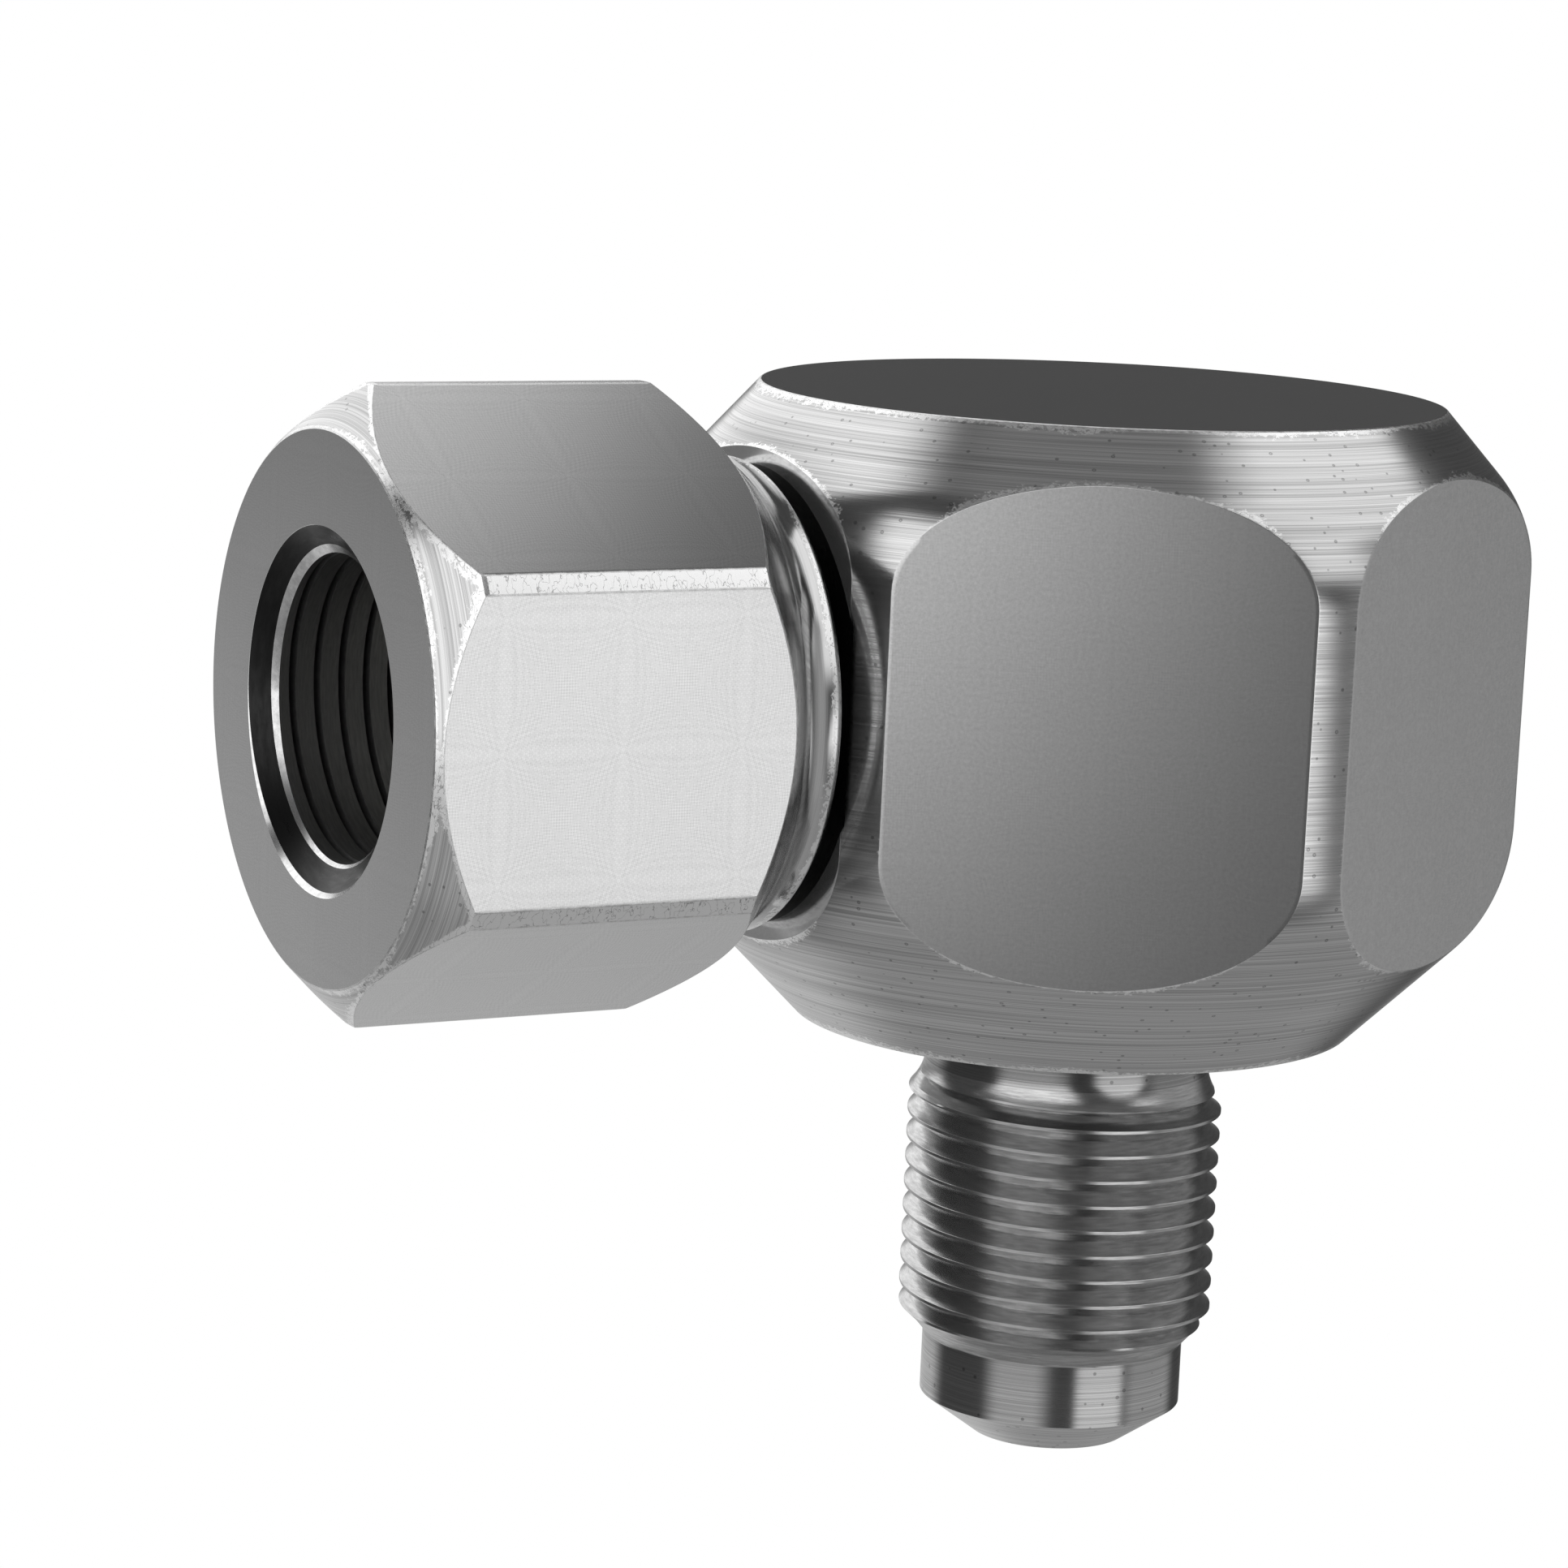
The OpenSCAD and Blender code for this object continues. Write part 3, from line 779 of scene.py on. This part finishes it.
# %% The finish class
class Finish:
    """A material's node tree, with short ways to add nodes."""

    def __init__(self, name, metallic=1.0):
        self.material = bpy.data.materials.new(name)
        self.material.use_nodes = True
        self.tree = self.material.node_tree
        self.shader = self.tree.nodes["Principled BSDF"]
        self.shader.inputs["Metallic"].default_value = metallic

    def feed(self, socket, value):
        if isinstance(value, bpy.types.NodeSocket):
            self.tree.links.new(value, socket)
        else:
            socket.default_value = value

    def add(self, kind, inputs, **settings):
        node = self.tree.nodes.new(kind)
        for key, value in settings.items():
            setattr(node, key, value)
        for key, value in inputs.items():
            self.feed(node.inputs[key], value)
        return node

    def math(self, operation, a, b=0.0):
        return self.add("ShaderNodeMath", {0: a, 1: b}, operation=operation).outputs[0]

    def fit(self, value, low, high, to_low, to_high):
        """Maps low..high to to_low..to_high, and holds the ends."""
        inputs = {"Value": value, "From Min": low, "From Max": high, "To Min": to_low,
                  "To Max": to_high}
        return self.add("ShaderNodeMapRange", inputs).outputs[0]

    def read(self, name):
        return self.add("ShaderNodeAttribute", {}, attribute_name=name)

    def lathe(self, across, along):
        """The lathe places in mm, stretched across and along the outline."""
        place = self.read("lathe_mm").outputs["Vector"]
        return self.stretch(place, (across, across, along))

    def stretch(self, place, factors):
        return self.add("ShaderNodeVectorMath", {0: place, 1: factors},
                        operation="MULTIPLY").outputs[0]

    def noise(self, place, detail=2.0, roughness=0.5):
        inputs = {"Vector": place, "Scale": 1.0, "Detail": detail, "Roughness": roughness}
        return self.add("ShaderNodeTexNoise", inputs).outputs[0]

    def mix(self, share, a, b):
        """Plain mix of two numbers."""
        return self.add("ShaderNodeMix", {0: share, 2: a, 3: b}, data_type="FLOAT").outputs[0]

    def bump(self, height, strength, distance_mm):
        inputs = {"Height": height, "Strength": strength, "Distance": distance_mm * MM}
        self.feed(self.shader.inputs["Normal"], self.add("ShaderNodeBump", inputs).outputs[0])

    def surface(self, tone, roughness):
        self.feed(self.shader.inputs["Base Color"], tone)
        self.feed(self.shader.inputs["Roughness"], roughness)


print("Shader sockets are set directly wherever a value is the same all over")

# %% [markdown]
# ## Wear and pits
# Handling brightens the edges of the real part in ragged bands a few tenths of a millimetre
# wide. The distance to the nearest edge is stored on the mesh, so a noise only has to make that
# limit ragged. The turned skin also has scattered tiny round pits with a dark rim.

# %% Wear beside the edges
WORN_TONE = 0.98
WORN_ROUGHNESS = 0.26
WORN_REACH = (0.06, 0.72)  # the least and the most, in mm
SCRATCH_HALF = 0.017  # how near its middle the noise makes a scratch


def worn_share(finish, narrow, wide):
    """1 on a worn edge and 0 away from it, with a ragged limit between narrow and wide mm."""
    ragged = finish.noise(finish.lathe(2.4, 3.4), 5.0, 0.75)
    patchy = finish.noise(finish.lathe(0.16, 0.22), 1.0)
    limit = finish.fit(ragged, 0.38, 0.66, narrow, wide)
    limit = finish.math("MULTIPLY", limit, finish.fit(patchy, 0.38, 0.62, 0.3, 1.15))
    gap = finish.math("SUBTRACT", finish.read("edge_mm").outputs["Fac"], limit)
    return finish.fit(gap, -0.05, 0.07, 1.0, 0.0)


def scratch_lines(finish, across, along):
    """1 on thin wriggling lines, where a noise passes its middle."""
    off = finish.math("SUBTRACT", finish.noise(finish.lathe(across, along), 2.0, 0.55), 0.5)
    return finish.fit(finish.math("ABSOLUTE", off), 0.0, SCRATCH_HALF, 1.0, 0.0)


def pit_rims(finish, spacing_mm, radius_mm):
    """1 on the thin rims of scattered small pits."""
    place = finish.lathe(1.0, 1.0)
    inputs = {"Vector": place, "Scale": 1 / spacing_mm, "Randomness": 1.0}
    cells = finish.add("ShaderNodeTexVoronoi", inputs)
    radius = radius_mm / spacing_mm
    off = finish.math("SUBTRACT", cells.outputs["Distance"], radius)
    return finish.fit(finish.math("ABSOLUTE", off), 0.02, 0.06, 1.0, 0.0)


# %% [markdown]
# ## Turned steel
# A lathe tool leaves fine lines round the part. They are short streaks and not perfect rings,
# because the metal tears a little. A noise that is squeezed along the outline and drawn out round
# the axis gives such streaks. They change the tone and the roughness and hardly the height,
# as on the real part, where the lines show but the reflections stay clean.
# Near another surface the tone is darkened too, which is painted shade.

# %% Turned steel
PIT_SPACING_MM = 0.85
PIT_RADIUS_MM = 0.07
# how far from another surface the painted shade reaches
PAINTED_SHADE_REACH_MM = 5.0


def turned_steel(name, tone, contrast, rough, pits_and_painted_shade=True):
    """Turned steel. Optionally it has pits, and painted shade that darkens it where another surface
    is very near.
    """
    f = Finish(name)
    fine = f.noise(f.lathe(0.03, 12.0), 3.0, 0.7)
    broad = f.noise(f.lathe(0.02, 2.2), 2.0)
    streak = f.math("ADD", f.math("MULTIPLY", fine, 0.85), f.math("MULTIPLY", broad, 0.15))
    shade = f.fit(streak, 0.36, 0.66, tone * (1 - contrast), tone * (1 + contrast))
    if pits_and_painted_shade:
        rims = pit_rims(f, PIT_SPACING_MM, PIT_RADIUS_MM)
        shade = f.math("MULTIPLY", shade, f.fit(rims, 0, 1, 1.0, 0.55))
        # Painted shade: an occlusion test darkens the tone near other surfaces.
        near = f.add("ShaderNodeAmbientOcclusion", {"Distance": PAINTED_SHADE_REACH_MM * MM}, samples=8)
        shade = f.math("MULTIPLY", shade, f.fit(near.outputs["AO"], 0.45, 0.97, 0.25, 1.0))
    worn = worn_share(f, *WORN_REACH)
    bare = f.fit(scratch_lines(f, 1.3, 2.4), 0, 1, WORN_TONE, WORN_TONE * 0.4)
    shade = f.mix(worn, shade, bare)
    gloss = f.fit(fine, 0.35, 0.65, rough * 1.35, rough * 0.7)
    f.surface(shade, f.mix(worn, gloss, WORN_ROUGHNESS))
    f.bump(streak, 0.25, 0.01)
    return f.material


# %% [markdown]
# ## Milled flats
# The flats are satin, with a very fine pattern of arcs that the mill left. A wave texture has one
# set of rings only. Here the place is folded into a small square, and rings spread from its four
# corners. Those of opposite corners are added and the two sums are multiplied, which gives the
# dotted arcs and the soft petal shapes between the middles.

# %% Milled steel
ARC_MM = 0.2  # between two rings
ARC_SQUARE_MM = 6.3


def rings_about(f, place, corner):
    """A wave of rings about one corner of the square that a place lies in."""
    off = f.add("ShaderNodeVectorMath", {0: place, 1: corner}, operation="SUBTRACT").outputs[0]
    far = f.add("ShaderNodeVectorMath", {0: off}, operation="LENGTH").outputs["Value"]
    return f.math("SINE", f.math("MULTIPLY", far, FULL_TURN / ARC_MM))


def milled_steel(name, tone, rough, pattern, coarse, metallic=1.0):
    """Satin steel. pattern is how strong the arcs are, and coarse how strong the grain."""
    f = Finish(name, metallic)
    place = f.stretch(f.read("lathe_mm").outputs["Vector"], (1, 1, 0))
    side = ARC_SQUARE_MM
    inside = f.add("ShaderNodeVectorMath", {0: place, 1: (0, 0, -1), 2: (side, side, 1)},
                   operation="WRAP").outputs[0]
    near = f.math("ADD", rings_about(f, inside, (0, 0, 0)), rings_about(f, inside, (side, side, 0)))
    far = f.math("ADD", rings_about(f, inside, (side, 0, 0)), rings_about(f, inside, (0, side, 0)))
    arcs = f.math("MULTIPLY", near, far)
    grain = f.noise(f.lathe(5.0, 5.0), 3.0, 0.6)
    cloud = f.noise(f.lathe(0.13, 0.13), 2.0)
    shade = f.fit(arcs, -1.6, 1.6, tone * (1 - pattern), tone * (1 + pattern))
    shade = f.math("MULTIPLY", shade, f.fit(grain, 0.3, 0.7, 1 - coarse, 1 + coarse))
    shade = f.math("MULTIPLY", shade, f.fit(cloud, 0.3, 0.7, 0.985, 1.015))
    f.surface(shade, f.fit(grain, 0.3, 0.7, rough * 1.08, rough * 0.92))
    return f.material


# %% [markdown]
# ## The other finishes of the two big pieces
# The edges themselves are bare bright metal with scratches across them. The bores are painted
# dark, partly as painted shade because little light finds its way in, and partly because they are
# left as drilled. The mouth of the port and the recess behind the hub are painted darker still,
# nearly black, as painted shade, and the lip round the mouth is painted bright, partly as a painted
# highlight.

# %% Worn, threaded and bored steel, and the painted shade and highlight of the port
def worn_edge(name):
    """Bare bright metal with scratches."""
    f = Finish(name)
    scratch = f.noise(f.lathe(2.2, 3.0), 4.0, 0.7)
    f.surface(f.fit(scratch, 0.36, 0.6, 0.62, 0.97), f.fit(scratch, 0.3, 0.7, 0.28, 0.42))
    return f.material


def rough_steel(name, tone, rough, across, along):
    """Steel with a fine grain, for threads, bores, the recess, the mouth and its lip."""
    f = Finish(name)
    grain = f.noise(f.lathe(across, along), 3.0, 0.65)
    shade = f.fit(grain, 0.32, 0.68, tone * 0.8, tone * 1.2)
    f.surface(shade, f.fit(grain, 0.3, 0.7, rough * 1.2, rough * 0.85))
    f.bump(grain, 0.2, 0.01)
    return f.material


steels = [
    turned_steel("turned_steel", tone=0.6, contrast=0.3, rough=0.15),
    milled_steel("milled_steel", tone=0.62, rough=0.12, pattern=0.09, coarse=0.03, metallic=0.93),
    milled_steel("planed_steel", tone=0.62, rough=0.12, pattern=0.035, coarse=0.07, metallic=0.93),
    worn_edge("worn_edge"),
    rough_steel("thread_steel", tone=0.55, rough=0.2, across=0.8, along=5.0),
    # The bores' low tone is partly painted shade, as little light gets in.
    rough_steel("bored_steel", tone=0.28, rough=0.42, across=0.8, along=4.0),
    # Painted shade: the recess floor is painted nearly black.
    rough_steel("recess_steel", tone=0.1, rough=0.3, across=0.8, along=4.0),
    # Painted shade: the mouth is painted nearly black.
    rough_steel("mouth_painted_shade", tone=0.03, rough=0.3, across=0.8, along=4.0),
    # The lip's high tone is partly a painted highlight on the bevel.
    rough_steel("lip_steel_and_highlight", tone=0.82, rough=0.2, across=1.5, along=1.5),
    turned_steel("hub_steel", tone=0.64, contrast=0.07, rough=0.09, pits_and_painted_shade=False),
    milled_steel("faced_steel", tone=0.67, rough=0.12, pattern=0.05, coarse=0.03),
]
finishes = {steel.name: steel for steel in steels}


def dress(piece, names):
    """Fills the material slots of a piece with finishes, in the order of its faces' numbers."""
    while len(piece.data.materials) < len(names):
        piece.data.materials.append(None)
    for i, n in enumerate(names):
        piece.data.materials[i] = finishes[n]
    print(piece.name, "wears", ", ".join(names))


dress(hex_body, BODY_FINISHES)
dress(hex_nut, NUT_FINISHES)

# %% [markdown]
# ## The small pieces inside
# The bearings, seals and rings keep their CAD meshes. Their finishes are laid out in space, in
# the piece's own coordinates, because these meshes carry no lathe places.

# %% Finishes of the small pieces
class InnerFinish(Finish):
    """A finish that reads the place on the piece itself, in mm."""

    def lathe(self, across, along):
        place = self.add("ShaderNodeTexCoord", {}).outputs["Object"]
        return self.stretch(place, (along / MM, across / MM, across / MM))


def inner_finish(name, color, rough, metallic, across, along, spread):
    """A plain finish whose tone and gloss vary with a fine grain."""
    f = InnerFinish(name, metallic)
    grain = f.noise(f.lathe(across, along), 3.0, 0.6)
    share = f.fit(grain, 0.3, 0.7, 0.0, 1.0)
    dark = [c * (1 - spread) for c in color] + [1]
    light = [min(1.0, c * (1 + spread)) for c in color] + [1]
    tone = f.add("ShaderNodeMix", {0: share, 6: dark, 7: light}, data_type="RGBA").outputs[2]
    f.surface(tone, f.fit(grain, 0.3, 0.7, rough * 1.15, rough * 0.85))
    f.bump(grain, 0.15, 0.01)
    return f.material


slot_finishes = {
    "inner_steel": inner_finish("ground_steel", (0.58, 0.58, 0.6), 0.24, 1.0, 0.3, 6.0, 0.1),
    "ball_steel": inner_finish("polished_steel", (0.8, 0.8, 0.82), 0.06, 1.0, 1.5, 1.5, 0.03),
    "cage_brass": inner_finish("turned_brass", (0.72, 0.55, 0.28), 0.26, 1.0, 0.4, 6.0, 0.1),
    "seal_rubber": inner_finish("matt_rubber", (0.03, 0.03, 0.035), 0.62, 0.0, 4.0, 4.0, 0.3),
    "seal_plastic": inner_finish("matt_plastic", (0.86, 0.85, 0.8), 0.5, 0.0, 1.5, 1.5, 0.05),
}
outer_pieces = ("body", "swivel_nut")
for name in nodes:
    if name in outer_pieces:
        continue
    for place in bpy.data.objects[name].material_slots:
        place.material = slot_finishes[place.material.name]
print("Small pieces with a finish:", len(nodes) - len(outer_pieces))

# %% [markdown]
# ## The studio
# Bare metal looks like what it mirrors, so the room matters as much as the finish. The part hangs
# in a grey tent with bright and dark cards, as small metal parts are photographed. Real
# cards could stand there one by one, but their gaps would mirror the white room. So the tent is
# one big ball that only mirrors see, and each card is a soft-edged patch of light on it.

# %% The cards on the tent
TENT_RADIUS = 2.0
TENT_DARK = 0.07
CARDS = [
    # name, azimuth from and to, elevation from and to, lean, softness across and up, light
    ("floor_glow", (-200, 200), (-95, -32), 0.0, (30, 24), 0.33),
    ("ceiling", (-200, 200), (64, 95), 0.0, (30, 14), 0.23),
    ("back_dim", (10, 62), (-6, 44), 0.0, (20, 20), 0.075),
    ("right_wall", (-50, 9), (-38, 34), 0.0, (20, 20), 0.385),
    ("left_low", (-176, -126), (-50, -8), 0.0, (20, 18), 0.46),
    ("left_wall", (-176, -119), (-9, 44), 0.3, (11, 13), 1.2),
    ("front_strip", (-98, -55), (-19, 8), -0.5, (9, 24), 1.2),
    ("right_high", (-59, 9), (33, 66), 0.0, (7, 10), 1.08),
    ("corner_high", (-66, -42), (14, 64), 0.0, (14, 16), 1.0),
    ("back_low", (52, 118), (-48, -5), 0.0, (24, 22), 0.58),
    ("back_wall", (71, 123), (2, 60), 0.62, (12, 14), 1.15),
]
LEAN_START = 6  # a card leans from this many degrees above its lower edge


def soft_step(value, edge, softness):
    """0 below an edge and 1 above it, with a smooth rise of that softness."""
    share = min(1.0, max(0.0, (value - edge) / softness + 0.5))
    return share * share * (3 - 2 * share)


def tent_light(azimuth, elevation):
    """How bright the tent is in one direction, in degrees."""
    light = TENT_DARK
    for _, (left, right), (low, high), lean, (across, up), card_light in CARDS:
        off = abs((azimuth - (left + right) / 2 + 180) % 360 - 180)
        reach = (right - left) / 2 + lean * max(0.0, elevation - low - LEAN_START)
        share = soft_step(reach, off, across)
        share *= soft_step(elevation, low, up) * soft_step(high, elevation, up)
        light += (card_light - light) * share
    return light


# %% The tent's mesh
TENT_COLUMNS = 240
TENT_ROWS = 120
tent_points = []
tent_lights = []
for j in range(TENT_ROWS + 1):
    elevation = -90 + 180 * j / TENT_ROWS
    level = TENT_RADIUS * math.cos(math.radians(elevation))
    height = TENT_RADIUS * math.sin(math.radians(elevation))
    for i in range(TENT_COLUMNS):
        azimuth = -180 + 360 * i / TENT_COLUMNS
        across = level * math.cos(math.radians(azimuth))
        back = level * math.sin(math.radians(azimuth))
        tent_points.append((across, back, height))
        tent_lights.append(tent_light(azimuth, elevation))
tent_faces = []
for j in range(TENT_ROWS):
    for i in range(TENT_COLUMNS):
        k = (i + 1) % TENT_COLUMNS
        a, b = j * TENT_COLUMNS, (j + 1) * TENT_COLUMNS
        tent_faces.append((a + i, b + i, b + k, a + k))
tent_mesh = bpy.data.meshes.new("tent")
tent_mesh.from_pydata(tent_points, [], tent_faces)
light_marks = tent_mesh.attributes.new("card_light", "FLOAT", "POINT")
light_marks.data.foreach_set("value", tent_lights)
print("Brightest and darkest place:", max(tent_lights), round(min(tent_lights), 3))

# %% The tent's light
tent_finish = Finish("tent_light")
glow = tent_finish.add("ShaderNodeEmission",
                       {"Strength": tent_finish.read("card_light").outputs["Fac"]})
tent_out = tent_finish.tree.nodes["Material Output"]
tent_finish.feed(tent_out.inputs["Surface"], glow.outputs[0])
tent_mesh.materials.append(tent_finish.material)
tent = add_object("tent", tent_mesh)
tent.visible_camera = False
tent.visible_diffuse = False
tent.visible_shadow = False
print("Tent with", len(CARDS), "cards")

# %% [markdown]
# ## Floor, room light and lamps
# The room is white. The floor lies well below the part, as in a picture where the part stands
# free, and is as white as the room where no shadow falls. Two soft lamps and the room light the
# duller pieces and the floor at a plain level.

# %% White room
ROOM_LIGHT = 0.55
world = bpy.data.worlds.new("white_room")
bpy.context.scene.world = world
world.use_nodes = True
room = world.node_tree
backing = room.nodes["Background"]
backing.inputs["Color"].default_value = (1, 1, 1, 1)
paths = room.nodes.new("ShaderNodeLightPath")
seen = paths.outputs["Is Camera Ray"]
for kind in ("Is Glossy Ray", "Is Transmission Ray"):
    either = room.nodes.new("ShaderNodeMath")
    either.operation = "MAXIMUM"
    room.links.new(seen, either.inputs[0])
    room.links.new(paths.outputs[kind], either.inputs[1])
    seen = either.outputs[0]
strength = room.nodes.new("ShaderNodeMapRange")
strength.inputs["To Min"].default_value = ROOM_LIGHT
strength.inputs["To Max"].default_value = 1.0
room.links.new(seen, strength.inputs["Value"])
room.links.new(strength.outputs[0], backing.inputs["Strength"])
bpy.context.scene.view_settings.view_transform = "Standard"
print("Room light on dull surfaces:", ROOM_LIGHT)

# %% Floor
FLOOR_Z_MM = -160
FLOOR_RADIUS_MM = 280
FLOOR_GLOW = 0.45
floor_skin = Skin()
floor_rings = [(radius, FLOOR_Z_MM) for radius in (0, FLOOR_RADIUS_MM / 2, FLOOR_RADIUS_MM)]
turn(floor_skin, on_body, floor_rings, "floor")
floor = add_object("floor", make_mesh("floor", floor_skin, ["floor"]))
pale = Finish("pale_floor", metallic=0.0)
paper = pale.noise(pale.lathe(0.4, 0.4), 3.0)
pale.surface(pale.fit(paper, 0.3, 0.7, 0.86, 0.9), pale.fit(paper, 0.3, 0.7, 0.85, 0.75))
pale.shader.inputs["Emission Color"].default_value = (1, 1, 1, 1)
camera_sees = pale.add("ShaderNodeLightPath", {}).outputs["Is Camera Ray"]
glow_seen = pale.fit(camera_sees, 0, 1, 0.0, FLOOR_GLOW)
pale.feed(pale.shader.inputs["Emission Strength"], glow_seen)
floor.data.materials.append(pale.material)
floor.visible_glossy = False
print("Floor", -FLOOR_Z_MM, "mm below the shoulder")


# %% Soft lamps
LAMP_SIZE = 0.6
AIM = Vector((0, 0, 0.01))


def soft_lamp(name, place, watts):
    """A square lamp that looks at the part."""
    data = bpy.data.lights.new(name, "AREA")
    data.size = LAMP_SIZE
    data.energy = watts
    lamp = bpy.data.objects.new(name, data)
    lamp.location = place
    lamp.rotation_euler = (AIM - Vector(place)).to_track_quat("-Z", "Y").to_euler()
    lamp.visible_glossy = False
    bpy.context.scene.collection.objects.link(lamp)
    return lamp


lamps = [
    soft_lamp("key_lamp", (-0.5, -0.7, 1.0), watts=9.0),
    soft_lamp("fill_lamp", (0.8, -0.4, 0.7), watts=5.0),
]
print("Lamps:", ", ".join(lamp.name for lamp in lamps))
